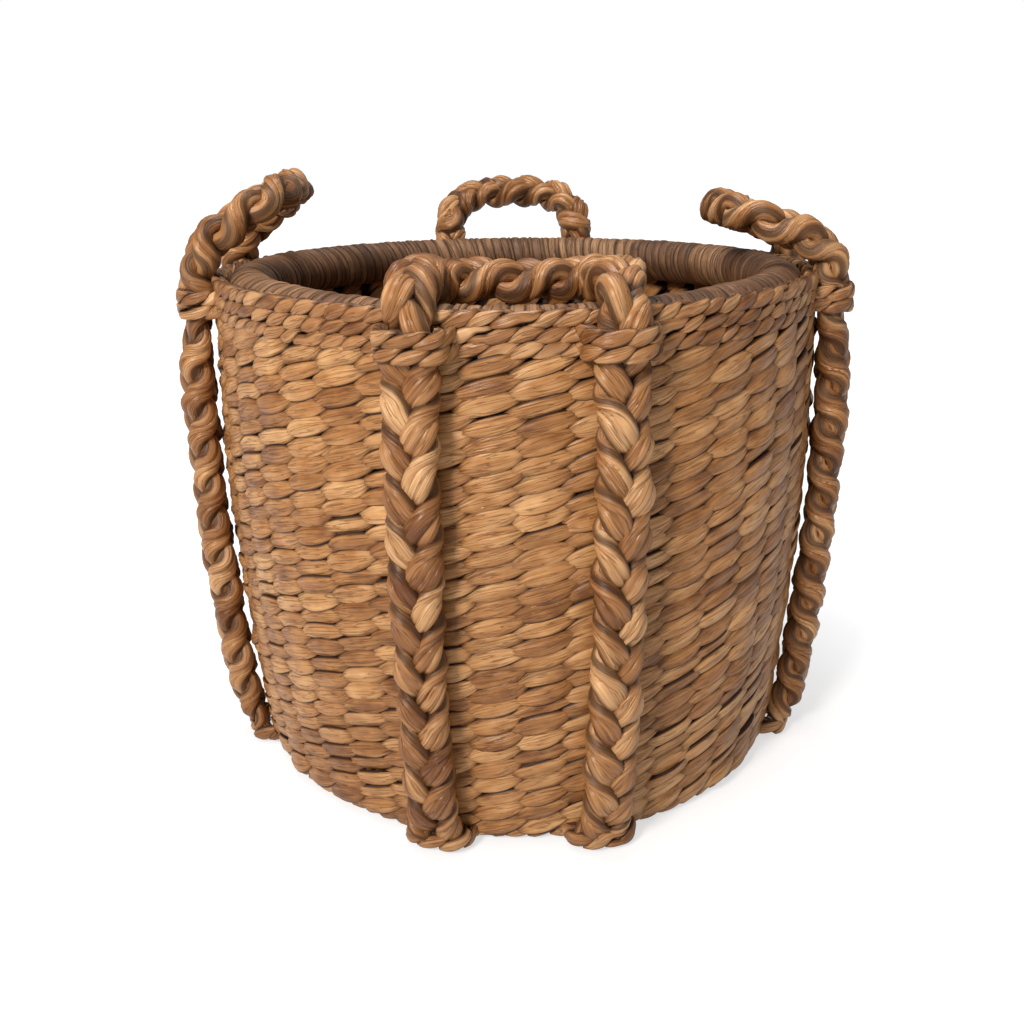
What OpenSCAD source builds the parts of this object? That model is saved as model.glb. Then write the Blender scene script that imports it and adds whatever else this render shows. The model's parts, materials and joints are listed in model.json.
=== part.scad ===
// Round woven laundry basket: twined wall on upright stakes, wrapped rim roll,
// and four handles plaited in one piece with the braids that run down the wall.

/* [Basket] */
// Outer radius of the woven wall at its top edge
top_radius = 260; // [220:1:300]
// Outer radius of the woven wall at its foot
foot_radius = 243; // [205:1:285]
// Height of the woven wall above the floor
wall_height = 400; // [320:1:460]
// How far the wall bellies out beyond a straight line from foot to top
wall_bulge = 9.5; // [4:0.5:20]

/* [Weave] */
// Number of stakes that stand in the wall
stake_count = 44; // [24:2:60]
// Diameter of a stake
stake_d = 6; // [4:0.5:8]
// Thickness of one flattened weft strand
strand_t = 5.5; // [4:0.5:7]
// Rounds of weave in the base
base_rounds = 14; // [8:1:18]
// Height of the base and of the rope round its edge
base_height = 12; // [10:0.5:16]

/* [Rim] */
// Diameter of the wrapped roll inside the rim
roll_d = 41; // [36:1:46]
// Height of the top of the roll
roll_top = 436; // [432:1:480]
// Thickness of the wrapping round the core of the roll
wrap_t = 6; // [3:0.5:9]
// Height of one of the three ropes outside the rim
rope_h = 10.3; // [8:0.1:12]
// Depth of one of the three ropes outside the rim
rope_t = 11; // [8:0.5:13]

/* [Handles] */
// Width of a plait where it lies on the wall
braid_w = 37; // [28:1:44]
// Thickness of a plait where it lies on the wall
braid_t = 20; // [14:1:24]
// Angle from the middle of a handle to each of its two braids
braid_angle = 15; // [11:0.5:18]
// Diameter of the plait in a handle loop
loop_d = 28; // [22:1:32]
// Front handle: how far it reaches from its fold
front_reach = 77; // [50:1:110]
// Front handle: its lean towards the inside
front_lean = 90; // [0:1:90]
// Front handle: radius of its two bends
front_bend = 26; // [20:1:50]
// Right handle: reach
right_reach = 80; // [50:1:110]
// Right handle: lean
right_lean = 71; // [0:1:90]
// Right handle: radius of its bends
right_bend = 34; // [20:1:50]
// Back handle: reach
back_reach = 50; // [50:1:110]
// Back handle: lean, which is outwards
back_lean = -50; // [-80:1:90]
// Back handle: radius of its bends
back_bend = 46; // [20:1:50]
// Left handle: reach
left_reach = 78; // [50:1:110]
// Left handle: lean
left_lean = 55; // [0:1:90]
// Left handle: radius of its bends
left_bend = 42; // [20:1:50]

/* [Hidden] */
WEFT_ROWS = 28;
function row_name(k) = str("weft_row_", k < 10 ? "0" : "", k);

// Round parts of the weave are smooth rings
$fn = 180;
arc_fn = 720;
rod_fn = 24;

// Clearance round a stake or a spoke between the strands that hold it, and between two rows
stake_gap = 0.9;
spoke_gap = 0.2;
row_gap = 0.1;
// Clearance between a braid and what it passes over or through
braid_gap = 3;
belt_gap = 1.5;
// Clearance between pieces that move against each other
fold_gap = 0.5;

row_pitch = (wall_height - base_height) / WEFT_ROWS;
wall_t = 2 * strand_t + stake_d + 2 * stake_gap;

// The wall follows one arc from foot to top: its radius and its centre
wall_run = norm([wall_height, top_radius - foot_radius]);
arc_r = (pow(wall_run / 2, 2) + pow(wall_bulge, 2)) / (2 * wall_bulge);
arc_tilt = atan((top_radius - foot_radius) / wall_height);
arc_x = (foot_radius + top_radius) / 2 - (arc_r - wall_bulge) * cos(arc_tilt);
arc_z = wall_height / 2 + (arc_r - wall_bulge) * sin(arc_tilt);
function arc_angle(z) = asin((z - arc_z) / arc_r);
function wall_r(z) = arc_x + arc_r * cos(arc_angle(z));

// Base: the upper and lower strands hold flat spokes between them
foot_rope_t = 13.5;
foot_rope_r = foot_radius - 4.5;
foot_loop_t = 7.5;
round_gap = 0.2;
hub_r = 28;
base_r = foot_rope_r - foot_rope_t / 2 - round_gap;
base_pitch = (base_r - hub_r) / base_rounds;
spoke_count = stake_count / 2;
spoke_d = 4.4;
base_strand_t = (base_height - spoke_d - 2 * spoke_gap) / 2;

// Rim: the roll lies inside the ropes, just above the wall
roll_r = top_radius - 10.3 - roll_d / 2;
roll_z = roll_top - roll_d / 2;
core_gap = 0.2;
rope_r = roll_r + roll_d / 2 + 0.2 + rope_t / 2;
rope_z = [for (i = [0 : 2]) wall_height + rope_h * (i + 0.5)];
belt_t = 5;
// A rope's loops are this much slimmer than the rope, above and below
loop_inset = 0.3;

// Handles fold about a line just above the roll
fold_z = roll_top + loop_d / 2 + fold_gap;
knuckle_w = 32;
knuckle_d = loop_d + 0.6;
knuckle_gap = 3;
braid_top = fold_z - knuckle_d / 2 - knuckle_gap;
braid_foot = 3.5;
braid_mid_r = wall_r(braid_top) + braid_gap + braid_t / 2;
fold_r = braid_mid_r * cos(braid_angle);
loop_half = braid_mid_r * sin(braid_angle);

// Squared oval w wide and h high, with a flat facet on each of its four sides
function oval(w, h, power = 3, steps = 16) = [
    for (i = [0 : steps - 1])
        let (a = (i + 0.5) * 360 / steps, k = pow(cos(180 / steps), 2 / power))
        [
            w / 2 * sign(cos(a)) * pow(abs(cos(a)), 2 / power) / k,
            h / 2 * sign(sin(a)) * pow(abs(sin(a)), 2 / power) / k
        ]
];

// Ring of a squared oval section: r is its middle radius, z its middle height
module ring(r, z, w, h) {
    rotate_extrude()
        translate([r, z])
            polygon(oval(w, h));
}

// Piece laid along the wall's arc from z0 to z1: off is its distance out from the wall's face
module along_wall(z0, z1, off) {
    a0 = arc_angle(z0);
    translate([arc_x, 0, arc_z])
        rotate([90, 0, 0])
            rotate_extrude(angle = arc_angle(z1) - a0, start = a0, $fn = arc_fn)
                translate([arc_r + off, 0])
                    children();
}

module base_center() {
    color("peru")
        cylinder(r = hub_r, h = base_height);
}

module base_spokes() {
    color("tan")
        for (i = [0 : spoke_count - 1])
            rotate([0, 0, (i + 0.5) * 360 / spoke_count])
                translate([hub_r, 0, base_height / 2])
                    rotate([0, 90, 0])
                        cylinder(d = spoke_d, h = base_r - hub_r, $fn = rod_fn);
}

// Rounds of the base from first to last, each an upper and a lower strand
module base_weave(first, last) {
    color("peru")
        for (i = [first : last], side = [0, 1])
            ring(hub_r + (i - 0.5) * base_pitch, base_strand_t / 2 + side * (base_height - base_strand_t),
                base_pitch - round_gap, base_strand_t);
}

// Flat rope ring that also loops round the outside of every braid: r is its middle radius,
// t its depth, loop_t the depth of its loops, z its lowest height and h its height
module looped_rope(r, t, loop_t, z, h) {
    hole_w = braid_w + 2 * belt_gap;
    hole_t = braid_t + 2 * belt_gap;
    hole_r = wall_r(z + h / 2) + braid_gap + braid_t / 2;
    color("burlywood")
        difference() {
            union() {
                translate([0, 0, z])
                    cylinder(r = r + t / 2, h = h);
                at_braids()
                    translate([hole_r, 0, z + loop_inset])
                        linear_extrude(h - 2 * loop_inset)
                            polygon(oval(hole_t + 2 * loop_t, hole_w + 2 * loop_t, 5));
            }
            at_braids()
                translate([hole_r, 0, z - 1])
                    linear_extrude(h + 2)
                        polygon(oval(hole_t, hole_w, 5));
            translate([0, 0, z - 1])
                cylinder(r = r - t / 2, h = h + 2);
        }
}

module foot_rope() {
    looped_rope(foot_rope_r, foot_rope_t, foot_loop_t, 0, base_height);
}

module wall_stakes() {
    color("tan")
        for (i = [0 : stake_count - 1])
            rotate([0, 0, (i + 0.5) * 360 / stake_count])
                along_wall(base_height, wall_height - 1, -wall_t / 2)
                    circle(d = stake_d, $fn = rod_fn);
}

// One row of twining: an outer strand and an inner strand, with the stakes between them
module weft_row(k) {
    z = base_height + (k - 0.5) * row_pitch;
    color(k % 2 == 0 ? "burlywood" : "sandybrown") {
        ring(wall_r(z) - strand_t / 2, z, strand_t, row_pitch - row_gap);
        ring(wall_r(z) - wall_t + strand_t / 2, z, strand_t, row_pitch - row_gap);
    }
}

module rim_core() {
    color("tan")
        rotate_extrude()
            translate([roll_r, roll_z])
                circle(d = roll_d - 2 * wrap_t - 2 * core_gap, $fn = 48);
}

module rim_wrap() {
    color("sienna")
        rotate_extrude()
            translate([roll_r, roll_z])
                difference() {
                    circle(d = roll_d, $fn = 48);
                    circle(d = roll_d - 2 * wrap_t, $fn = 48);
                }
}

module rim_rope_upper() {
    color("burlywood")
        ring(rope_r, rope_z[2], rope_t, rope_h);
}

// Rope row that passes outside every braid, as a belt that holds it
module belt_rope(z) {
    looped_rope(rope_r, rope_t, belt_t, z - rope_h / 2, rope_h);
}

// Directions of the four handles, and of the eight braids
handle_turn = [-90, 0, 90, 180];
function braid_turn(handle, side) = handle_turn[handle] + side * braid_angle;

module at_braids() {
    for (handle = [0 : 3], side = [-1, 1])
        rotate([0, 0, braid_turn(handle, side)])
            children();
}

// Braid on the wall, from the foot to just under the fold of its handle
module braid(handle, side) {
    color("chocolate")
        rotate([0, 0, braid_turn(handle, side)])
            along_wall(braid_foot, braid_top, braid_gap + braid_t / 2)
                polygon(oval(braid_t, braid_w, 4, 24));
}

// Handle loop: two legs, each with a round knuckle on the fold line, two bends and a bar
module handle_loop(handle, reach, lean, bend_r) {
    leg = reach - bend_r;
    bar = 2 * (loop_half - bend_r);
    color("chocolate")
        rotate([0, 0, handle_turn[handle]])
            translate([fold_r, 0, fold_z])
                rotate([0, -lean, 0]) {
                    for (side = [-1, 1]) {
                        translate([0, side * loop_half, 0]) {
                            rotate([90, 0, 0])
                                cylinder(d = knuckle_d, h = knuckle_w, center = true, $fn = 48);
                            cylinder(d = loop_d, h = leg, $fn = 48);
                        }
                        translate([0, side * bar / 2, leg])
                            rotate([0, 0, side * 90])
                                rotate([90, 0, 0])
                                    rotate_extrude(angle = 90, $fn = 96)
                                        translate([bend_r, 0])
                                            circle(d = loop_d, $fn = 48);
                    }
                    translate([0, bar / 2, reach])
                        rotate([90, 0, 0])
                            cylinder(d = loop_d, h = bar, $fn = 48);
                }
}

base_center();
base_spokes();
base_weave(1, 5);  // inner_base_weave
base_weave(6, 10);  // middle_base_weave
base_weave(11, base_rounds);  // outer_base_weave
foot_rope();
wall_stakes();
for (k = [1 : WEFT_ROWS]) weft_row(k);
rim_core();
rim_wrap();
rim_rope_upper();
belt_rope(rope_z[1]);  // rim_rope_middle
belt_rope(rope_z[0]);  // rim_rope_lower
braid(0, -1);  // front_braid_left
braid(0, 1);  // front_braid_right
braid(1, -1);  // right_braid_front
braid(1, 1);  // right_braid_back
braid(2, -1);  // back_braid_right
braid(2, 1);  // back_braid_left
braid(3, -1);  // left_braid_back
braid(3, 1);  // left_braid_front
handle_loop(0, front_reach, front_lean, front_bend);  // front_handle
handle_loop(1, right_reach, right_lean, right_bend);  // right_handle
handle_loop(2, back_reach, back_lean, back_bend);  // back_handle
handle_loop(3, left_reach, left_lean, left_bend);  // left_handle
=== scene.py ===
"""Looks of the round woven laundry basket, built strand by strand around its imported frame."""

import json
import math
from types import SimpleNamespace

import bpy
import numpy as np
from mathutils import Matrix, Vector


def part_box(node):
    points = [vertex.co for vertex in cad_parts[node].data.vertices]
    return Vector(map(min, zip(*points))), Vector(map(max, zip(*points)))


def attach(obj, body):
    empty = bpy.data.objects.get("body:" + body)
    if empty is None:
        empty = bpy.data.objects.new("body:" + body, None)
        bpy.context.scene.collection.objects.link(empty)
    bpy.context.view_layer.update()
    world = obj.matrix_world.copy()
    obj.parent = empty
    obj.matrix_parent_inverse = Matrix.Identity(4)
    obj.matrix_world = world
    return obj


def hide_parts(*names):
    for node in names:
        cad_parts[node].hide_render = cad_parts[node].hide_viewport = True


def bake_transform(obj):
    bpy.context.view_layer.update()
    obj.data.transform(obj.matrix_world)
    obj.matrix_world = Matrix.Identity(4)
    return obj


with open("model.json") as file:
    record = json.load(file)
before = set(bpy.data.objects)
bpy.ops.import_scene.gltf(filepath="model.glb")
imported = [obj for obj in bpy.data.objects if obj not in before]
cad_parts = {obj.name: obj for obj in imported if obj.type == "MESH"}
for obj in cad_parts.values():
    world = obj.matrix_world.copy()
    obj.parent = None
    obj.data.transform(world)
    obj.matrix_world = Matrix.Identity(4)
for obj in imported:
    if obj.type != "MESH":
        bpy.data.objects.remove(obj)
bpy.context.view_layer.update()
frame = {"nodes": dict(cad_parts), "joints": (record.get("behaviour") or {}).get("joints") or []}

MM = 0.001
UP = np.array([0.0, 0.0, 1.0])
TURN = 2 * math.pi

# ---------------------------------------------------------------- sizes, from the frame

ROWS = sorted(name for name in frame["nodes"] if name.startswith("weft_row_"))
ROW_BOX = [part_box(name) for name in ROWS]
ROW_Z = np.array([(low.z + high.z) / 2 for low, high in ROW_BOX])
ROW_R = np.array([high.x for low, high in ROW_BOX])
ROW_PITCH = (ROW_Z[-1] - ROW_Z[0]) / (len(ROWS) - 1)
WALL_FIT = np.polyfit(ROW_Z, ROW_R, 3)
WALL_SLOPE = np.polyder(WALL_FIT)
WALL_TOP = ROW_BOX[-1][1].z

BASE_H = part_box("base_center")[1].z
HUB_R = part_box("base_center")[1].x
BASE_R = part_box("outer_base_weave")[1].x

ROLL_LOW, ROLL_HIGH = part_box("rim_wrap")
ROLL_SIZE = (ROLL_HIGH.z - ROLL_LOW.z) / 2
ROLL_Z = (ROLL_HIGH.z + ROLL_LOW.z) / 2
ROLL_R = ROLL_HIGH.x - ROLL_SIZE

ROPE_LOW, ROPE_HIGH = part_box("rim_rope_upper")
ROPE_H = ROPE_HIGH.z - ROPE_LOW.z

JOINTS = {joint["child"]: joint for joint in frame["joints"]}

# ---------------------------------------------------------------- sizes of the weave

# Wall and base: their stakes, the depth of the twining, and how densely its stems are drawn
STAKES = 44
INNER_SPOKES = 22
WALL_T = 18.8 * MM
ROW_STEPS = 14
ROW_SIDES = 30
BASE_ROUNDS = 14
BASE_PITCH = (BASE_R - HUB_R) / BASE_ROUNDS
BASE_LIFT = 2.2 * MM
BASE_THICK = BASE_H - 1.6 * MM
BASE_SIDES = 14

# Ropes of the rim and the foot: depth, place, and the length of one lens
ROPE_T = 11 * MM
ROPE_R = ROPE_HIGH.x - ROPE_T / 2
ROPE_LENS = 18 * MM
ROPE_STEPS = 12
ROPE_SIDES = 24
ROPE_FILL = 0.92
BELT_GAP = 1.5 * MM
FOOT_T = 13.5 * MM
FOOT_R = ROW_R[0] - 9.5 * MM
FOOT_LIFT = 5 * MM

# Plaits: where they stand, their size, and the length in which a stem comes back to its place
BRAID_ANGLE = math.radians(15)
BRAID_W = 37 * MM
BRAID_T = 20 * MM
BRAID_GAP = 3 * MM
BRAID_TURN = 99 * MM
BRAID_LOW = 9.6 * MM
BRAID_HIGH = WALL_TOP + 12 * MM
TAIL_LOW = WALL_TOP + 6 * MM
# A plait is thicker on the wall than at its belts, and thinner at its foot
BRAID_SWELL = 8 * MM
SWELL_LOW = 16 * MM
SWELL_HIGH = WALL_TOP - 6 * MM
SWELL_SPAN = 40 * MM
FOOT_PINCH = 6 * MM
# Length over which a leaf in a plaited stem changes its width and place
LEAF_SPAN = 30 * MM

# Handles: their angle round the basket, half thickness, bend at the knees, and smoothing passes
HANDLES = {"front": -90, "right": 0, "back": 90, "left": 180}
LOOP_R = 14 * MM
LOOP_W = 2.4 * LOOP_R
LOOP_T = 2.1 * LOOP_R
BENDS = {"front": 26 * MM, "right": 34 * MM, "back": 46 * MM, "left": 42 * MM}
SOFTENING = {"front": 22, "right": 110, "back": 110, "left": 110}
TAIL_GAP = 12 * MM
# The front handle's plait is laid longer, and is fuller at its knees
FRONT_LAY = 106 * MM
KNEE_R = 24 * MM
KNEE_WIDER = 0.3
KNEE_DEEPER = 0.15
BRAIDS = {
    "front": ("front_braid_left", "front_braid_right"),
    "right": ("right_braid_front", "right_braid_back"),
    "back": ("back_braid_right", "back_braid_left"),
    "left": ("left_braid_back", "left_braid_front"),
}

# How far the rim, its roll and the front handle sink at the front, and how wide and high that is
RIM_SAG = 4 * MM
ROLL_SAG = 5 * MM
FRONT_HANDLE_SAG = 8 * MM
FRONT_SPREAD = 0.75
RIM_SAG_SPAN = 80 * MM
LOOSE_SAG_SPAN = 30 * MM

# How two stems are twined, in the wall and base and in a rope. slant: how steeply a lens lies,
# in pitches. wander: how unevenly the lenses are spaced, in stakes. fold: depth of the folds
# along a stem. lap: how far, in stakes, a lens runs past the crossing. flat: half a stem's
# thickness against the weave's. edge: how strong the painted shade at a lens's edges is.
# open_edge: how much the painted shade of the crevices fades towards a lens's edges, 0 where other
# rows lie close along both edges, more where an edge is seen. plump: how wide a lens is.
ROW_LAY = SimpleNamespace(slant=0.56, wander=0.05, fold=0.45 * MM, lap=0.16, flat=0.15,
                          edge=1.0, open_edge=0.0, plump=1.0)
ROPE_LAY = SimpleNamespace(slant=0.48, wander=0.25, fold=0.4 * MM, lap=0.13, flat=0.23,
                           edge=0.6, open_edge=1.1, plump=0.84)


def wall_r(z):
    """Radius of the wall's outer face at height z."""
    return np.polyval(WALL_FIT, z)


def settle(points, extra=0.0):
    """The rim sinks a little at the front; extra is how much more its loose top sinks there."""
    x, y, z = points[..., 0], points[..., 1], points[..., 2]
    front = np.exp(-((np.arctan2(y, x) + math.pi / 2) / FRONT_SPREAD) ** 2)
    low = RIM_SAG * ease((z - WALL_TOP + RIM_SAG_SPAN) / RIM_SAG_SPAN)
    high = extra * ease((z - WALL_TOP) / LOOSE_SAG_SPAN)
    return np.stack([x, y, z - front * (low + high)], -1)


def braid_depth(z):
    """Thickness of a plait on the wall; its belts and its foot draw it in."""
    swell = ease((z - SWELL_LOW) / SWELL_SPAN) * ease((SWELL_HIGH - z) / SWELL_SPAN)
    return BRAID_T + BRAID_SWELL * swell - FOOT_PINCH * (1 - ease(z / SWELL_SPAN))


def flat_dir(angle):
    """Level direction straight out from the middle of the basket at an angle."""
    return np.stack([np.cos(angle), np.sin(angle), np.zeros_like(angle)], -1)


def wall_out(angle, z):
    """Direction straight out of the wall's face."""
    return unit(flat_dir(angle) - np.polyval(WALL_SLOPE, z) * UP)


# ---------------------------------------------------------------- curves


def unit(v):
    """Vectors at length 1."""
    return v / np.linalg.norm(v, axis=-1, keepdims=True)


def power(x, p):
    """A power that keeps the sign."""
    return np.sign(x) * np.abs(x) ** p


def ease(x):
    """Goes smoothly from 0 to 1 as x does, and stays there outside."""
    x = np.clip(x, 0, 1)
    return x * x * (3 - 2 * x)


def tangents(path, closed=False):
    """Direction of a path at each of its points."""
    if closed:
        return unit(np.roll(path, -1, 0) - np.roll(path, 1, 0))
    return unit(np.gradient(path, axis=0))


def square_to(along, face):
    """The part of face at right angles to along, at length 1."""
    return unit(face - along * np.sum(face * along, -1, keepdims=True))


def stations(path, closed=False):
    """Distance along a path to each of its points, and the whole length."""
    ends = path[:1] if closed else path[-1:]
    steps = np.linalg.norm(np.diff(path, axis=0, append=ends), axis=1)
    return np.concatenate([[0], np.cumsum(steps)[:-1]]), steps.sum()


def resample(path, step, *fields, closed=False):
    """The path with its points an even step apart, and fields given on it carried along."""
    at, length = stations(path, closed)
    if closed:
        at = np.append(at, length)
        path = np.concatenate([path, path[:1]])
        fields = [np.concatenate([f, f[:1]]) for f in fields]
    count = max(int(round(length / step)), 4)
    new = np.linspace(0, length, count + 1)
    new = new[:-1] if closed else new
    out = [np.stack([np.interp(new, at, f[:, k]) for k in range(3)], 1) for f in (path, *fields)]
    return out[0] if len(out) == 1 else out


def soften(path, passes, closed=False):
    """Rounds a path's corners by averaging each point with its neighbours."""
    for _ in range(passes):
        if closed:
            path = (np.roll(path, 1, 0) + 2 * path + np.roll(path, -1, 0)) / 4
        else:
            inner = (path[:-2] + 2 * path[1:-1] + path[2:]) / 4
            path = np.concatenate([path[:1], inner, path[-1:]])
    return path


def held(values, place, soft=0.25):
    """One value for each lens or lobe, held along it, changing softly half way to the next."""
    low = np.floor(place).astype(int)
    part = ease((place - low - 0.5) / soft + 0.5)
    n = len(values)
    return values[low % n] * (1 - part) + values[(low + 1) % n] * part


# ---------------------------------------------------------------- strands swept into one mesh


class Strands:
    """The strands of one piece: flattened stems swept along paths into one mesh.

    Each point also keeps where it is in its stem (fibre), the stem's colour (tone) and how
    much painted shade it takes, darker the further it lies into the weave and at a stem's edges, for the
    materials.
    """

    def __init__(self, seed):
        self.random = np.random.default_rng(seed)
        self.parts = []
        self.quads = []
        self.caps = []
        self.count = 0

    def relief(self, station, sides, span, depth):
        """Folds that run along a stem: waves round it that drift from span to span."""
        controls = int(station[-1] / span) + 4
        place = station / span
        at = np.arange(controls)
        turn = (np.arange(sides) + 0.5) * TURN / sides
        out = np.zeros((len(station), sides))
        for waves, share in ((4, 0.7), (7, 1.0), (11, 0.8)):
            phase = np.interp(place, at, np.cumsum(self.random.normal(0, 0.7, controls)))
            height = np.interp(place, at, self.random.uniform(0.1, 1.0, controls))
            wave = np.cos(waves * turn[None, :] + phase[:, None])
            out += share * height[:, None] * (1 - 2 * np.sqrt(np.clip(0.5 - 0.5 * wave, 0, 1)))
        return -depth * out

    def keep(self, points, fibre, tone, painted_shade, closed=False, flipped=False):
        """Keeps rings of points as a skin; closed joins the last ring to the first."""
        rings, sides = points.shape[:2]
        row = np.arange(rings if closed else rings - 1)[:, None]
        column = np.arange(sides)[None, :]
        next_row, next_column = (row + 1) % rings, (column + 1) % sides
        corners = [row * sides + column, row * sides + next_column,
                   next_row * sides + next_column, next_row * sides + column]
        if flipped:
            corners = corners[:1] + corners[:0:-1]
        self.quads.append(np.stack(corners, -1).reshape(-1, 4) + self.count)
        self.parts.append([points, fibre, tone, painted_shade])
        self.count += rings * sides

    def add(self, path, face, half_w, half_t, tone, sides=20, square=2.4, fold=0.3 * MM,
            span=22 * MM, closed=False, edge=0.3):
        """Sweeps one stem along path. face is where its flat side looks. Returns its points.

        edge is how strong the painted shade along the stem's two edges is, against the darkest painted
        shade in the crevices.
        """
        n = len(path)
        along = tangents(path, closed)
        face = square_to(along, face)
        side = np.cross(along, face)
        station, length = stations(path, closed)
        turn = (np.arange(sides) + 0.5) * TURN / sides
        round_x = power(np.cos(turn), 2 / square)[None, :]
        round_y = power(np.sin(turn), 2 / square)[None, :]
        half_w = np.broadcast_to(half_w, n)[:, None]
        half_t = np.broadcast_to(half_t, n)[:, None]
        relief = self.relief(station, sides, span, fold)
        if closed:
            relief = relief * ease(np.minimum(station, length - station) / span)[:, None]
        x = (half_w + relief) * round_x
        y = (half_t + relief) * round_y
        points = path[:, None, :] + x[..., None] * side[:, None, :] + y[..., None] * face[:, None, :]
        # The fibres keep an even width, so that they run together where the stem narrows
        even_x = np.broadcast_to(np.mean(half_w) * round_x, x.shape)
        even_y = np.broadcast_to(np.mean(half_t) * round_y, x.shape)
        even_z = np.broadcast_to(station[:, None], x.shape)
        fibre = np.stack([even_x, even_y, even_z], -1) + self.random.uniform(0, 1, 3)
        tone = np.broadcast_to(np.broadcast_to(tone, n)[:, None], x.shape)
        # Painted shade along the stem's two edges, where it lies against the stems beside it
        shade = np.broadcast_to(edge * np.abs(np.cos(turn)[None, :]) ** (16 / square), x.shape)
        if closed:
            # The last ring of points lies on the first, so that the fibres run on to the end
            points, tone, shade = (np.concatenate([field, field[:1]]) for field in (points, tone, shade))
            fibre = np.concatenate([fibre, fibre[:1] + np.array([0, 0, length])])
        first = self.count
        self.keep(points, fibre, tone, shade)
        if not closed:
            self.caps.append(np.arange(sides)[::-1] + first)
            self.caps.append(np.arange(sides) + (n - 1) * sides + first)
        return points

    def set_painted_shade(self, painted_shade):
        """Painted shade on the points of the stem added last, from 0 to 1, from how far into the weave
        they lie; where the shade along its edges is darker, that stays.
        """
        self.parts[-1][3] = np.clip(np.maximum(painted_shade, self.parts[-1][3]), 0, 1)

    def build(self, name, look, slot, body, *nodes, sag=0.0):
        """Makes the object; it rides on its body, if one is given, and stands for its nodes."""
        points, fibre = (np.concatenate([part[k].reshape(-1, 3) for part in self.parts]) for k in (0, 1))
        tone, painted_shade = (np.concatenate([part[k].ravel() for part in self.parts]) for k in (2, 3))
        points = settle(points, sag)
        mesh = bpy.data.meshes.new(name)
        mesh.vertices.add(len(points))
        mesh.vertices.foreach_set("co", points.astype(np.float32).ravel())
        quads = np.concatenate(self.quads)
        sizes = np.array([4] * len(quads) + [len(cap) for cap in self.caps], np.int32)
        starts = np.concatenate([[0], np.cumsum(sizes)[:-1]]).astype(np.int32)
        corners = np.concatenate([quads.ravel(), *self.caps]).astype(np.int32)
        mesh.loops.add(len(corners))
        mesh.loops.foreach_set("vertex_index", corners)
        mesh.polygons.add(len(sizes))
        mesh.polygons.foreach_set("loop_start", starts)
        mesh.polygons.foreach_set("use_smooth", np.ones(len(sizes), bool))
        mesh.update(calc_edges=True)
        for key, kind, field, data in (
            ("fibre", "FLOAT_VECTOR", "vector", fibre),
            ("tone", "FLOAT", "value", tone),
            ("painted_shade", "FLOAT", "value", painted_shade),
        ):
            layer = mesh.attributes.new(key, kind, "POINT")
            layer.data.foreach_set(field, data.astype(np.float32).ravel())
        mesh.materials.append(look)
        piece = bpy.data.objects.new(name, mesh)
        bpy.context.scene.collection.objects.link(piece)
        if body:
            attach(piece, body)
        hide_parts(*nodes)
        return piece


# ---------------------------------------------------------------- twining and plait


def leaf(place, lap):
    """Where a twined stem is in its lens: from -1 to 1, tip to tip, and 1 outside or -1 inside.

    lap is how far, in stakes, each tip of an outer lens runs past the crossing.
    """
    outer = 1 + 2 * lap
    cycle = (place + outer / 2) % 2
    is_out = cycle < outer
    along = np.where(is_out, 2 * cycle / outer, 2 * (cycle - outer) / (2 - outer)) - 1
    return along, np.where(is_out, 1.0, -1.0)


def twine(strands, ring, out, across, count, pitch, thick, sides, lay):
    """Two stems that cross between each pair of stakes, once round a closed ring.

    out looks away from the seen face; across lies in the face, at right angles to the ring.
    Each stem shows as one slanting leaf-shaped lens over every second stake; the tips of two
    lenses lie one over the other.
    """
    random = strands.random
    steady = np.arange(len(ring)) * count / len(ring)
    place = steady - 0.5 + lay.wander * np.sin(
        TURN * (held(random.uniform(0, 1, count // 2), steady / 2, 0.9)))
    around = np.append(np.arange(len(ring)), 0)
    for stem in (0, 1):
        along, outward = leaf(place + stem, lay.lap)
        full = 1 - np.abs(along) ** 2.1
        # Each lens has its own width, height, depth and lean
        fat = held(random.normal(1, 0.11, count), place)
        shift = held(random.normal(0, 0.06, count), place) * pitch * full
        proud = held(random.normal(0, 0.04, count), place) * thick * full
        half_t = thick * (lay.flat + 0.05 * (1 - full))
        half_w = lay.plump * pitch * (0.19 + 0.42 * full * fat)
        reach = outward * np.cos(math.pi / 2 * along) ** 0.22 * (thick / 2 - half_t) + proud
        rise = lay.slant * pitch * outward * (0.85 * along + 0.15 * along ** 3) + shift
        path = ring + out * reach[:, None] + across * rise[:, None]
        lean = held(random.normal(0, 0.2, count), place) * full
        face = out + across * lean[:, None]
        tone = 0.4 * held(random.uniform(0, 1, count // 6 + 1), place / 6, 0.05)
        tone = tone + 0.6 * held(random.uniform(0, 1, count), place)
        points = strands.add(path, face, half_w, half_t, tone, sides, 2.3, lay.fold, 20 * MM, True,
                             edge=lay.edge)
        # Painted shade, darker the nearer a point lies to the middle of the weave's depth, between the
        # rows, and towards the lens tips, which run in under the other stem
        away = points - ring[around, None, :]
        height = np.sum(away * out[around, None, :], -1) / (thick / 2)
        beside = np.sum(away * across[around, None, :], -1) / pitch * lay.open_edge
        strands.set_painted_shade(1 - np.hypot(height, beside) + 0.22 * np.abs(along[around, None]) ** 3)


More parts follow.
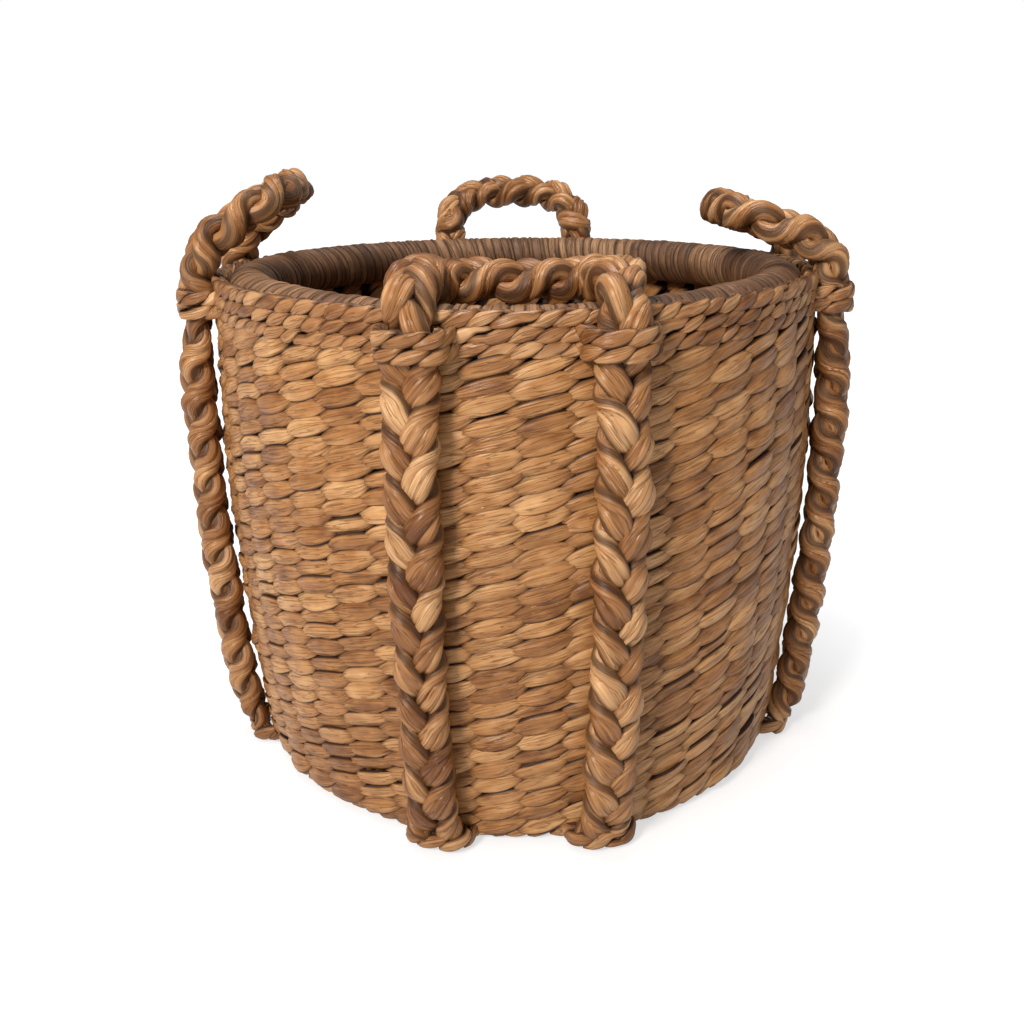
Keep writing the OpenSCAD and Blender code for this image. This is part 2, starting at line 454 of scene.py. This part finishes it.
def add_leaves(strands, centre, normal, half_w, half_t, tone, path, side, face, sides=16):
    """One stem of a plait: three flat leaves side by side.

    side and face are the plait's directions over its width and depth.
    """
    random = strands.random
    over = np.cross(tangents(centre), normal)
    station, length = stations(centre)
    parts = int(length / LEAF_SPAN) + 3
    for leaf_at in (-1, 1, 0):
        drift = held(random.normal(0, 0.10, parts), station / LEAF_SPAN, 0.9)
        share = held(random.normal(0.55, 0.06, parts), station / LEAF_SPAN, 0.9)
        sink = 0.16 * abs(leaf_at) + held(random.normal(0, 0.07, parts), station / LEAF_SPAN, 0.9)
        middle = centre + over * ((0.44 * leaf_at + drift) * half_w)[:, None]
        middle = middle - normal * (sink * half_t)[:, None]
        leaf_tone = tone + random.normal(0, 0.12)
        looks = normal + 0.35 * leaf_at * over
        points = strands.add(middle, looks, share * half_w, half_t * (1 - 0.1 * abs(leaf_at)), leaf_tone,
                             sides, 2.2, 0.5 * MM, 26 * MM, edge=0.6)
        # Painted shade in the valleys between the plait's stems, darker the nearer a point lies to the
        # plait's middle
        away = points - path[:, None, :]
        reach = 2 * np.hypot(np.sum(away * side[:, None, :], -1), np.sum(away * face[:, None, :], -1))
        strands.set_painted_shade(2.2 * (0.81 - reach))


def plait(strands, path, face, width, depth, start=0.0, lay=BRAID_TURN):
    """Three stems plaited along an open path; face is where the plait's front looks."""
    random = strands.random
    along = tangents(path)
    face = square_to(along, face)
    side = np.cross(along, face)
    station, length = stations(path)
    width, depth = np.broadcast_to(width, len(path)), np.broadcast_to(depth, len(path))
    half_t = 0.28 * depth
    swing = width / 2 - half_t
    lift = depth / 2 - half_t
    for stem in range(3):
        place = station / lay + start + stem / 3
        turn = TURN * place
        lobes = int(2 * length / lay) + 4
        fat = held(random.normal(1, 0.07, lobes), 2 * place)
        # The stem lies flat over the middle, and folds over at each side
        edge = np.tanh(2.2 * np.cos(turn)) / math.tanh(2.2)
        roll = math.pi / 2 * (1 - edge)
        normal = face * np.cos(roll)[:, None] + side * np.sin(roll)[:, None]
        centre = path + side * (swing * np.sin(turn))[:, None] + face * (lift * np.sin(2 * turn))[:, None]
        tone = 0.4 * random.uniform(0, 1) + 0.6 * held(random.uniform(0, 1, lobes), 2 * place)
        add_leaves(strands, centre, normal, 0.28 * width * fat, half_t * fat, tone,
                   path, side / width[:, None], face / depth[:, None])


# ---------------------------------------------------------------- base and wall


def round_ring(radius, height, count, first=0.0, steps=12):
    """Points round the basket, steps to a stake, and their angles; first is where a stake stands."""
    angle = (np.arange(count * steps) / steps + first - 0.5) / count * TURN
    return flat_dir(angle) * radius + UP * height, angle


def weft_row(index, look):
    """One row of twining in the wall."""
    z = ROW_Z[index]
    strands = Strands(100 + index)
    drift = 0.5 + 0.035 * math.sin(0.9 * index)
    ring, angle = round_ring(wall_r(z) - WALL_T / 2, z, STAKES, drift, ROW_STEPS)
    out = wall_out(angle, z)
    across = unit(np.cross(out, tangents(ring, True)))
    twine(strands, ring, out, across, STAKES, ROW_PITCH, WALL_T, ROW_SIDES, ROW_LAY)
    name = ROWS[index]
    strands.build(name.replace("weft", "twined"), look, "weave", "basket", name)


def base_rounds(name, node, first, last, spokes, shift, look):
    """Rounds of twining in the base, counted from the hub."""
    strands = Strands(200 + first)
    for k in range(first, last + 1):
        radius = HUB_R + (k - 0.5) * BASE_PITCH
        steps = 12 if spokes * radius < 6 else 8
        ring, angle = round_ring(radius, BASE_H / 2 + BASE_LIFT, spokes, shift, steps)
        out = np.broadcast_to(UP, ring.shape)
        twine(strands, ring, out, flat_dir(angle), spokes, BASE_PITCH, BASE_THICK, BASE_SIDES, ROW_LAY)
    strands.build(name, look, "weave", "basket", node)


def base_hub(look, stems=6):
    """The start of the base: two sets of stems woven over and under each other."""
    strands = Strands(300)
    pitch = 2 * HUB_R / stems
    for k in range(stems):
        offset = (k - (stems - 1) / 2) * pitch
        half = math.sqrt(HUB_R ** 2 - offset ** 2)
        along = np.linspace(-half, half, 41)
        other = np.full_like(along, offset)
        weave = np.cos(math.pi * (along / pitch + k + 0.5)) * 0.22 * BASE_H
        for turned in (False, True):
            height = BASE_H / 2 + (-weave if turned else weave)
            path = np.stack([other, along, height] if turned else [along, other, height], 1)
            face = np.broadcast_to(UP, path.shape)
            strands.add(path, face, 0.48 * pitch, 0.24 * BASE_H, strands.random.uniform(0, 1), 14)
    strands.build("woven_hub", look, "weave", "basket", "base_center")


# ---------------------------------------------------------------- ropes of rim and foot


def looped_path(radius, z, loop_r, half_w, step=2.2 * MM):
    """Closed path at a radius that steps out to loop_r to pass round the front of each braid."""
    points = []
    turns = sorted(math.radians(a) % TURN + s * BRAID_ANGLE for a in HANDLES.values() for s in (-1, 1))
    reach = half_w / radius
    foot = radius * math.cos(reach)
    sweep = np.linspace(math.pi, 0, 40)
    across = half_w * power(np.cos(sweep), 0.5)
    away = foot + (loop_r - foot) * power(np.sin(sweep), 0.5)
    for k, braid in enumerate(turns):
        out, side = flat_dir(np.array(braid)), flat_dir(np.array(braid + math.pi / 2))
        points.append(out * away[:, None] + side * across[:, None])
        following = turns[(k + 1) % len(turns)] + (TURN if k == len(turns) - 1 else 0)
        gap = np.linspace(braid + reach, following - reach, 60)[1:-1]
        points.append(flat_dir(gap) * radius)
    path = np.concatenate(points) + UP * z
    path = resample(path, step, closed=True)
    return resample(soften(path, 5, True), step, closed=True)


def rope_ring(name, node, radius, z, depth, height, loop_r, seed, look):
    """A rope of two stems, laid round the basket, and over each braid where loop_r is given."""
    strands = Strands(seed)
    if loop_r:
        path = looped_path(radius, z, loop_r, BRAID_W / 2 + depth * 0.35)
    else:
        path, _ = round_ring(radius, z, STAKES, 0, 16)
    length = stations(path, True)[1]
    lenses = 2 * round(length / ROPE_LENS / 2)
    path = resample(path, length / (lenses * ROPE_STEPS), closed=True)
    out = unit(np.cross(tangents(path, True), UP))
    across = np.broadcast_to(UP, path.shape)
    twine(strands, path, out, across, lenses, ROPE_FILL * height, depth, ROPE_SIDES, ROPE_LAY)
    strands.build(name, look, "rope", "basket", node)


# ---------------------------------------------------------------- wrapped roll


def rim_roll(look, strips=190, steps=8, sides=54, ridge_h=1.1 * MM, strip_w=5.7 * MM):
    """The roll inside the rim: narrow stems wound round and round a core.

    Each strip is a low ridge. Its height differs from strip to strip and slowly round the
    section, and so does its slant.
    """
    strands = Strands(400)
    random = strands.random
    widths = random.uniform(0.45, 1.55, strips)
    edges = np.concatenate([[0], np.cumsum(widths)]) / widths.sum()
    inside = np.arange(steps) / steps
    share = (edges[:-1, None] + inside[None, :] * (edges[1:] - edges[:-1])[:, None]).ravel()
    beta = (np.arange(sides) + 0.5) * TURN / sides
    strip = np.repeat(np.arange(strips), steps)
    across = np.tile(inside, strips)
    ridge = 1 - np.abs(2 * across - 1) ** 2.6
    proud = random.normal(0, 0.6, strips)
    wave = random.uniform(0, TURN, strips)[strip][:, None]
    wobble = np.cos(beta[None, :] + wave)
    lift = proud[strip][:, None] + 0.3 * wobble
    size = ROLL_SIZE - ridge_h + ridge_h * ridge[:, None] * (1 + 0.35 * lift)
    tilt = random.normal(0, 0.004, strips)
    slant = 0.022 * np.sin(beta)[None, :] + np.interp(share, edges[:-1], tilt)[:, None] * wobble
    theta = (share * TURN)[:, None] + slant
    radius = ROLL_R + size * np.cos(beta)[None, :]
    z = ROLL_Z + size * np.sin(beta)[None, :]
    points = np.stack([radius * np.cos(theta), radius * np.sin(theta), z], -1)
    place = (across * strip_w)[:, None] + random.uniform(0, 1, strips)[strip][:, None]
    round_it = np.broadcast_to((beta * ROLL_SIZE)[None, :], radius.shape) + wave
    fibre = np.stack([np.broadcast_to(place, radius.shape), size, round_it], -1)
    tone = 0.4 * random.uniform(0, 1, strips) + 0.6 * np.repeat(random.uniform(0, 1, strips // 10), 10)
    tone = np.broadcast_to(tone[strip][:, None], radius.shape)
    # Painted shade in the grooves between the strips
    painted_shade = np.broadcast_to(0.6 * (1 - ridge)[:, None] ** 1.5, radius.shape)
    strands.keep(points, fibre, tone, painted_shade, closed=True, flipped=True)
    strands.build("rim_roll_wrapping", look, "rim_wrap", "basket", "rim_wrap", sag=ROLL_SAG)


def rim_core(look, stems=7):
    """The core of the roll: a bundle of long stems, one in the middle and the others round it."""
    strands = Strands(410)
    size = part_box("rim_core")[1].z - ROLL_Z
    stem_r = size / 3
    angle = np.arange(240) / 240 * TURN
    for k in range(stems):
        around = k / (stems - 1) * TURN
        away = (size - stem_r) * (k < stems - 1)
        radius = ROLL_R + away * math.cos(around)
        path = flat_dir(angle) * radius + UP * (ROLL_Z + away * math.sin(around))
        strands.add(path, flat_dir(angle), stem_r, stem_r, strands.random.uniform(0, 1), 14, closed=True)
    strands.build("rim_core_bundle", look, "rim_core", "basket", "rim_core", sag=ROLL_SAG)


# ---------------------------------------------------------------- braids and handles


def braid_line(angle, low, high, step=2.5 * MM):
    """Middle of a braid up the wall, and the way that it faces."""
    z = np.linspace(low, high, max(int((high - low) / step), 4))
    at = np.full_like(z, angle)
    path = flat_dir(at) * (wall_r(z) + BRAID_GAP + braid_depth(z) / 2)[:, None] + z[:, None] * UP
    return path, wall_out(at, z[:, None])


def wall_braid(handle_name, side, node, look, seed):
    """A plait up the wall, on one side of a handle."""
    strands = Strands(seed)
    angle = math.radians(HANDLES[handle_name]) + side * BRAID_ANGLE
    path, face = braid_line(angle, BRAID_LOW, BRAID_HIGH)
    plait(strands, path, face, BRAID_W, braid_depth(path[:, 2]), 0.13 * seed)
    strands.build(node.replace("braid", "plait"), look, "plait", "basket", node)


def handle_lean(node, fold, out):
    """Direction in which a handle leans at rest, and how far its bar is from its fold."""
    low, high = (np.array(corner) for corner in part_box(node))
    nearest, farthest = sorted([out @ low, out @ high])
    fold_r = out @ fold
    leans_in = fold_r - nearest > farthest - fold_r
    bar_r = nearest + LOOP_R if leans_in else farthest - LOOP_R
    bar = np.array([bar_r - fold_r, high[2] - LOOP_R - fold[2]])
    reach = float(np.hypot(*bar))
    return (out * bar[0] + UP * bar[1]) / reach, reach


def handle_line(name):
    """Middle of a handle from under the belt on one side to the other, and the way it faces."""
    node = name + "_handle"
    fold = np.array(JOINTS[node]["pos_m"])
    turn = math.radians(HANDLES[name])
    out, side = flat_dir(np.array(turn)), flat_dir(np.array(turn + math.pi / 2))
    up, reach = handle_lean(node, fold, out)
    face_up = np.cross(side, up)
    face_up = face_up if face_up @ out + face_up @ UP > 0 else -face_up
    half = (out @ fold) * math.tan(BRAID_ANGLE)
    bend = BENDS[name]
    leg = reach - bend
    corner = np.linspace(0, math.pi / 2, 14)
    across = np.concatenate([np.full(5, half), half - bend + bend * np.cos(corner)])
    along = np.concatenate([np.linspace(0.1 * leg, leg * 0.9, 5), leg + bend * np.sin(corner)])
    top = fold + side * across[:, None] + up * along[:, None]
    mirrored = fold - side * across[:, None] + up * along[:, None]
    tail, tail_face = braid_line(turn + BRAID_ANGLE, TAIL_LOW, fold[2] - TAIL_GAP)
    other, other_face = braid_line(turn - BRAID_ANGLE, TAIL_LOW, fold[2] - TAIL_GAP)
    path = np.concatenate([other, mirrored, top[::-1], tail[::-1]])
    flat = np.broadcast_to(face_up, top.shape)
    faces = np.concatenate([other_face, flat, flat, tail_face[::-1]])
    path, faces = resample(path, 2 * MM, faces)
    path, faces = resample(soften(path, SOFTENING[name]), 2.2 * MM, soften(faces, 60))
    return path, unit(faces), fold, up


def knees(path, fold, up):
    """How near each point of the front handle is to its two knees, from 0 to 1."""
    reach = np.max((path - fold) @ up) - BENDS["front"] / 3
    half = np.linalg.norm(fold[:2]) * math.tan(BRAID_ANGLE)
    near = np.zeros(len(path))
    for side in (-1, 1):
        knee = fold + up * reach + np.array([side * half, 0, 0])
        near = np.maximum(near, np.exp(-(np.linalg.norm(path - knee, axis=1) / KNEE_R) ** 2))
    return near


def handle(name, look, seed):
    """The part of the plait that makes the handle; it bends where it leaves the rim."""
    strands = Strands(seed)
    path, face, fold, up = handle_line(name)
    start, sag = 0.3 * seed, 0
    if name == "front":
        fuller = knees(path, fold, up)
        width, depth = LOOP_W * (1 + KNEE_WIDER * fuller), LOOP_T * (1 + KNEE_DEEPER * fuller)
        plait(strands, path, -face, width, depth, start, FRONT_LAY)
        sag = FRONT_HANDLE_SAG
    else:
        plait(strands, path, face, LOOP_W, LOOP_T, start)
    piece = strands.build(name + "_handle_plait", look, "plait", None, name + "_handle", sag=sag)
    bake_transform(piece)


# ---------------------------------------------------------------- materials


class Nodes:
    """Short way to write a material's node tree."""

    def __init__(self, name):
        self.material = bpy.data.materials.new(name)
        self.material.use_nodes = True
        self.tree = self.material.node_tree
        self.shader = self.tree.nodes["Principled BSDF"]

    def add(self, kind, **settings):
        """A new node, with its settings."""
        node = self.tree.nodes.new(kind)
        for key, value in settings.items():
            setattr(node, key, value)
        return node

    def link(self, output, target):
        """Joins an output to an input."""
        self.tree.links.new(output, target)

    def attribute(self, name, output):
        """Data kept on the mesh's points."""
        return self.add("ShaderNodeAttribute", attribute_name=name).outputs[output]

    def math(self, operation, a, b=0.5, clamp=False):
        """Arithmetic on two numbers or sockets."""
        node = self.add("ShaderNodeMath", operation=operation, use_clamp=clamp)
        for socket, value in zip(node.inputs, (a, b)):
            if isinstance(value, (int, float)):
                socket.default_value = value
            else:
                self.link(value, socket)
        return node.outputs[0]

    def noise(self, vector, across, along, detail=3, rough=0.6):
        """Noise in a stem, with grain sizes across and along it."""
        mapping = self.add("ShaderNodeMapping")
        mapping.inputs["Scale"].default_value = (1 / across, 1 / across, 1 / along)
        self.link(vector, mapping.inputs["Vector"])
        noise = self.add("ShaderNodeTexNoise")
        noise.inputs["Scale"].default_value = 1
        noise.inputs["Detail"].default_value = detail
        noise.inputs["Roughness"].default_value = rough
        self.link(mapping.outputs[0], noise.inputs["Vector"])
        return noise.outputs["Factor"] if "Factor" in noise.outputs else noise.outputs["Fac"]

    def ramp(self, value, *stops):
        """Colours between stops, at a value."""
        ramp = self.add("ShaderNodeValToRGB")
        elements = ramp.color_ramp.elements
        while len(elements) < len(stops):
            elements.new(0.5)
        for element, (position, colour) in zip(elements, stops):
            element.position = position
            element.color = (*colour, 1)
        self.link(value, ramp.inputs[0])
        return ramp.outputs[0]

    def mix(self, factor, a, b):
        """A colour between two, each a colour or a socket."""
        node = self.add("ShaderNodeMix", data_type="RGBA")
        self.link(factor, node.inputs[0])
        for socket, value in ((node.inputs[6], a), (node.inputs[7], b)):
            if isinstance(value, tuple):
                socket.default_value = (*value, 1)
            else:
                self.link(value, socket)
        return node.outputs[2]

    def bumps(self, *layers):
        """Relief from several heights, each with its strength and its depth."""
        normal = None
        for height, strength, distance in layers:
            bump = self.add("ShaderNodeBump")
            bump.inputs["Strength"].default_value = strength
            bump.inputs["Distance"].default_value = distance
            self.link(height, bump.inputs["Height"])
            if normal:
                self.link(normal, bump.inputs["Normal"])
            normal = bump.outputs[0]
        self.link(normal, self.shader.inputs["Normal"])


def srgb(red, green, blue):
    """A colour given as on a screen, as the linear numbers that a shader takes."""
    return tuple(((c / 255 + 0.055) / 1.055) ** 2.4 for c in (red, green, blue))


# Each look's colours, dark, middle, light and the painted shade in the crevices, and its roughness
STEM_LOOKS = {
    "woven_stems": ((100, 54, 19), (164, 112, 63), (208, 160, 107), (50, 24, 8), 0.38),
    "rope_stems": ((94, 51, 21), (154, 105, 62), (200, 154, 106), (48, 22, 8), 0.38),
    "plaited_stems": ((96, 53, 22), (156, 106, 62), (206, 160, 112), (58, 30, 11), 0.37),
    "wrapping_stems": ((62, 35, 18), (106, 71, 44), (156, 116, 80), (28, 14, 7), 0.58),
}
CANE = ((128, 98, 62), (190, 158, 112))
WARM_SHEEN = (1.0, 0.88, 0.74, 1)


def stem_look(name):
    """Dried stems: long fibres, streaks and cracks, tone from stem to stem, and painted shade in the
    crevices.
    """
    *colours, rough = STEM_LOOKS[name]
    dark, mid, light, shadow = (srgb(*colour) for colour in colours)
    n = Nodes(name)
    fibre = n.attribute("fibre", "Vector")
    tone = n.attribute("tone", "Fac")
    painted_shade = n.attribute("painted_shade", "Fac")
    fine = n.noise(fibre, 0.75 * MM, 30 * MM, 4, 0.65)
    streak = n.noise(fibre, 1.6 * MM, 60 * MM, 3, 0.6)
    blotch = n.noise(fibre, 9 * MM, 20 * MM, 2, 0.5)
    # Where this noise crosses its middle value, a thin line runs along the stem
    crack = n.noise(fibre, 2.4 * MM, 45 * MM, 2, 0.5)
    crack = n.math("ABSOLUTE", n.math("SUBTRACT", crack, 0.5))
    flat = n.math("MULTIPLY", crack, 1 / 0.03, True)
    value = n.math("MULTIPLY", tone, 0.3)
    value = n.math("ADD", value, n.math("MULTIPLY", streak, 0.24))
    value = n.math("ADD", value, n.math("MULTIPLY", fine, 0.3))
    value = n.math("ADD", value, n.math("MULTIPLY", blotch, 0.4))
    value = n.math("SUBTRACT", value, 0.25, True)
    colour = n.ramp(value, (0.16, dark), (0.36, mid), (0.58, light))
    lined = n.mix(n.math("ADD", n.math("MULTIPLY", flat, 0.6), 0.4), dark, colour)
    # Painted shade: the colour goes towards the shadow colour where a point lies far into the weave or at
    # a stem's edge
    crevice_shade = n.math("MULTIPLY", n.math("SUBTRACT", painted_shade, 0.13), 2.0, True)
    n.link(n.mix(crevice_shade, lined, shadow), n.shader.inputs["Base Color"])
    gloss = n.math("ADD", n.math("MULTIPLY", blotch, 0.3), rough - 0.17)
    n.link(n.math("ADD", gloss, n.math("MULTIPLY", painted_shade, 0.3), True), n.shader.inputs["Roughness"])
    n.shader.inputs["Specular IOR Level"].default_value = 0.5
    n.shader.inputs["Specular Tint"].default_value = WARM_SHEEN
    n.bumps((fine, 0.5, 0.25 * MM), (streak, 0.7, 0.9 * MM), (flat, 0.7, 0.7 * MM))
    return n.material


def cane_look():
    """Peeled cane, for the stakes and the spokes, which have no strand data."""
    dark, light = (srgb(*colour) for colour in CANE)
    n = Nodes("cane")
    place = n.add("ShaderNodeTexCoord").outputs["Object"]
    grain = n.noise(place, 1.2 * MM, 40 * MM, 4)
    n.link(n.ramp(grain, (0.3, dark), (0.7, light)), n.shader.inputs["Base Color"])
    n.shader.inputs["Roughness"].default_value = 0.6
    n.bumps((grain, 0.4, 0.3 * MM))
    return n.material


# ---------------------------------------------------------------- studio

# Light that comes from all round, against the white that the camera sees
AMBIENT = 0.33
AMBIENT_COLOUR = (0.97, 0.98, 1.0, 1)
# The floor's own glow: under the basket, how much more there is away from it, and from how far out
FLOOR_GREY = (0.5, 0.5, 0.5, 1)
FLOOR_GLOW = 0.62
FLOOR_GLOW_FAR = 0.35
FLOOR_CLEAR = 0.4
# Name, place, size, power and colour of each lamp; all of them look at the middle of the basket
LAMPS = (
    ("key", (-1.2, -2.2, 1.8), 0.6, 72, (1.0, 0.95, 0.9)),
    ("top", (-0.2, -0.1, 2.5), 1.0, 40, (0.96, 0.98, 1.0)),
)
LAMP_AIM = Vector((0, 0, 0.22))
CAMERA_PLACE = (-0.0043, -0.9487, 0.5283)
CAMERA_LENS = 36.71
CAMERA_SENSOR = 36
CAMERA_DOWN = math.radians(19.22)
CAMERA_ROLL = -0.0096


def white_surroundings(scene):
    """Pure white behind the basket, and a dimmer light on it from all round."""
    world = bpy.data.worlds.new("studio")
    scene.world = world
    world.use_nodes = True
    tree = world.node_tree
    background = tree.nodes["Background"]
    background.inputs["Color"].default_value = AMBIENT_COLOUR
    background.inputs["Strength"].default_value = AMBIENT
    seen = tree.nodes.new("ShaderNodeBackground")
    seen.inputs["Strength"].default_value = 1
    seen.inputs["Color"].default_value = (1, 1, 1, 1)
    path = tree.nodes.new("ShaderNodeLightPath")
    either = tree.nodes.new("ShaderNodeMixShader")
    tree.links.new(path.outputs["Is Camera Ray"], either.inputs[0])
    tree.links.new(background.outputs[0], either.inputs[1])
    tree.links.new(seen.outputs[0], either.inputs[2])
    tree.links.new(either.outputs[0], tree.nodes["World Output"].inputs["Surface"])


def studio_floor():
    """A white floor that takes the basket's shadow and fades into the white behind."""
    bpy.ops.mesh.primitive_plane_add(size=30, location=(0, 0, 0))
    floor = bpy.context.object
    floor.name = "studio_floor"
    white = Nodes("studio_white")
    white.shader.inputs["Base Color"].default_value = FLOOR_GREY
    white.shader.inputs["Roughness"].default_value = 0.9
    white.shader.inputs["Specular IOR Level"].default_value = 0
    white.shader.inputs["Emission Color"].default_value = (1, 1, 1, 1)
    place = white.add("ShaderNodeTexCoord").outputs["Object"]
    away = white.add("ShaderNodeVectorMath", operation="LENGTH")
    white.link(place, away.inputs[0])
    far = white.math("SUBTRACT", away.outputs["Value"], FLOOR_CLEAR, True)
    glow = white.math("ADD", white.math("MULTIPLY", far, FLOOR_GLOW_FAR), FLOOR_GLOW)
    # The floor lights the basket half as strongly as it shows
    seen = white.add("ShaderNodeLightPath").outputs["Is Camera Ray"]
    share = white.math("ADD", white.math("MULTIPLY", seen, 0.5), 0.5)
    white.link(white.math("MULTIPLY", glow, share), white.shader.inputs["Emission Strength"])
    floor.data.materials.append(white.material)


def lamps(scene):
    """The area lamps."""
    for name, place, size, watts, colour in LAMPS:
        lamp = bpy.data.lights.new(name, "AREA")
        lamp.size, lamp.energy, lamp.color = size, watts, colour
        lamp_object = bpy.data.objects.new(name, lamp)
        lamp_object.location = place
        lamp_object.rotation_mode = "QUATERNION"
        lamp_object.rotation_quaternion = (LAMP_AIM - Vector(place)).to_track_quat("-Z", "Y")
        scene.collection.objects.link(lamp_object)


def camera(scene):
    """The camera, in front of the basket and looking down into it."""
    lens = bpy.data.cameras.new("camera")
    lens.sensor_width = CAMERA_SENSOR
    lens.lens = CAMERA_LENS
    camera_object = bpy.data.objects.new("camera", lens)
    camera_object.location = CAMERA_PLACE
    camera_object.rotation_mode = "XYZ"
    turned = Matrix.Rotation(math.pi / 2 - CAMERA_DOWN, 4, "X") @ Matrix.Rotation(CAMERA_ROLL, 4, "Z")
    camera_object.rotation_euler = turned.to_euler("XYZ")
    scene.collection.objects.link(camera_object)
    scene.camera = camera_object


def studio():
    """White sweep, soft light from above on the left, and the camera."""
    scene = bpy.context.scene
    scene.view_settings.view_transform = "Standard"
    scene.view_settings.look = "None"
    white_surroundings(scene)
    studio_floor()
    lamps(scene)
    camera(scene)


# ---------------------------------------------------------------- the basket


def base(look):
    """The base: rounds of twining in three pieces, and the hub."""
    base_rounds("inner_base_rounds", "inner_base_weave", 1, 5, INNER_SPOKES, 0.5, look)
    base_rounds("middle_base_rounds", "middle_base_weave", 6, 10, STAKES, 0.0, look)
    base_rounds("outer_base_rounds", "outer_base_weave", 11, BASE_ROUNDS, STAKES, 0.0, look)
    base_hub(look)


def ropes(look):
    """The rope round the foot, and the three round the rim; all but the top one loop the braids."""
    foot_loop = wall_r(0) + BRAID_GAP + BRAID_T - FOOT_PINCH
    rope_ring("foot_rope_strands", "foot_rope", FOOT_R, BASE_H / 2 + FOOT_LIFT, FOOT_T, BASE_H,
              foot_loop, 501, look)
    belt_loop = wall_r(WALL_TOP) + BRAID_GAP + BRAID_T + BELT_GAP
    for k, (level, loop) in enumerate((("lower", belt_loop), ("middle", belt_loop), ("upper", None))):
        z = WALL_TOP + ROPE_H * (k + 0.5)
        rope_ring(level + "_rope_strands", "rim_rope_" + level, ROPE_R, z, ROPE_T, ROPE_H,
                  loop, 502 + k, look)


def main():
    weave, rope, plaited, wrapped = (stem_look(name) for name in STEM_LOOKS)
    cane = cane_look()
    for index in range(len(ROWS)):
        weft_row(index, weave)
    base(weave)
    ropes(rope)
    rim_roll(wrapped)
    rim_core(wrapped)
    for k, (name, nodes) in enumerate(BRAIDS.items()):
        for side, node in zip((-1, 1), nodes):
            wall_braid(name, side, node, plaited, 600 + 2 * k + (side > 0))
        handle(name, plaited, 700 + k)
    for node in ("wall_stakes", "base_spokes"):
        slots = frame["nodes"][node].data.materials
        slots.clear()
        slots.append(cane)
    studio()


main()
